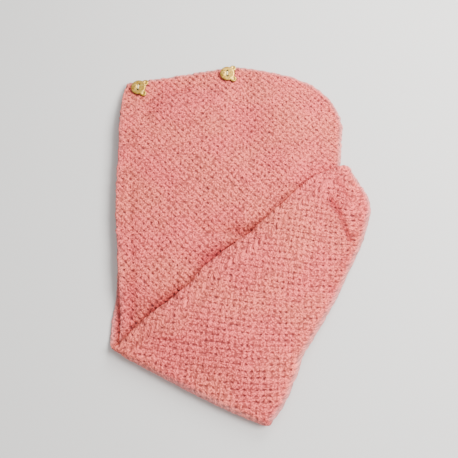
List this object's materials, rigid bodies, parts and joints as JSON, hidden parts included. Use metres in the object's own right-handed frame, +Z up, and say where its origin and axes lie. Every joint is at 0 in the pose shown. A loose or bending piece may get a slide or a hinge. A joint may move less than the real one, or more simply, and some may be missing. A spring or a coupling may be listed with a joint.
{
  "type": "hair turban towel",
  "caption": "Plush hair turban towel laid flat, its tail folded over the open hood, with bear-head buttons on the top edge and an elastic loop under the tip.",
  "frame": {"origin": "middle of the towel's box, on the surface that it lies on", "axes": "+X from the mouth to the closed side of the hood, +Y up the mouth from the folded corner to the top edge, +Z up from the surface"},
  "size_m": [0.276, 0.4041, 0.0247],
  "materials": {
    "plush": "pink coral fleece with small square tufts, soft and matte",
    "gold": "pale gold plating, satin",
    "cotton": "cream sewing thread",
    "elastic": "pink ribbed elastic band"
  },
  "bodies": {
    "root": {"under_panel": "plush", "upper_panel": "plush", "corner_button": "gold", "crown_button": "gold", "corner_button_thread": "cotton", "crown_button_thread": "cotton", "fastening_loop": "elastic"}
  },
  "joints": []
}
